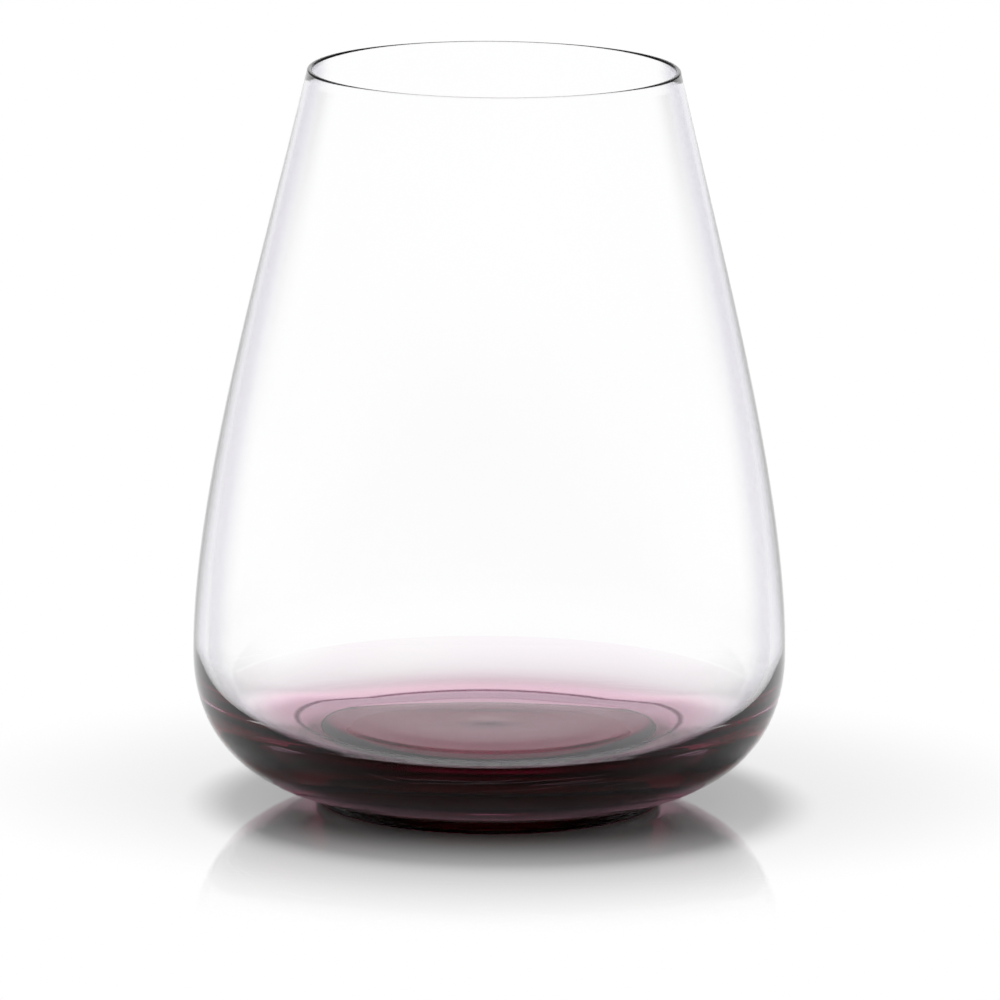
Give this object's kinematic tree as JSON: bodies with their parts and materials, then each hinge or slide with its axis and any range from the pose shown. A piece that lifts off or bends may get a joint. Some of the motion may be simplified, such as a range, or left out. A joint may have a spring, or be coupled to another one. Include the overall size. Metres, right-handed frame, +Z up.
{
  "type": "stemless wine glass",
  "caption": "Stemless wine glass: clear bowl tapering in to a thin mouth, heavy plum base that fades up the wall, and a low foot pad.",
  "frame": {"origin": "on the glass's axis, on the plane that it stands on", "axes": "+Z up along the axis, out of the mouth; X and Y are alike, because every piece is turned about Z"},
  "size_m": [0.1, 0.1, 0.1245],
  "materials": {
    "clear_glass": "fire-polished, clear",
    "plum_glass": "fire-polished, dark plum",
    "foot_glass": "fire-polished, dark plum"
  },
  "bodies": {
    "root": {"clear_bowl": "clear_glass", "plum_base": "plum_glass", "foot_pad": "foot_glass"}
  },
  "joints": []
}
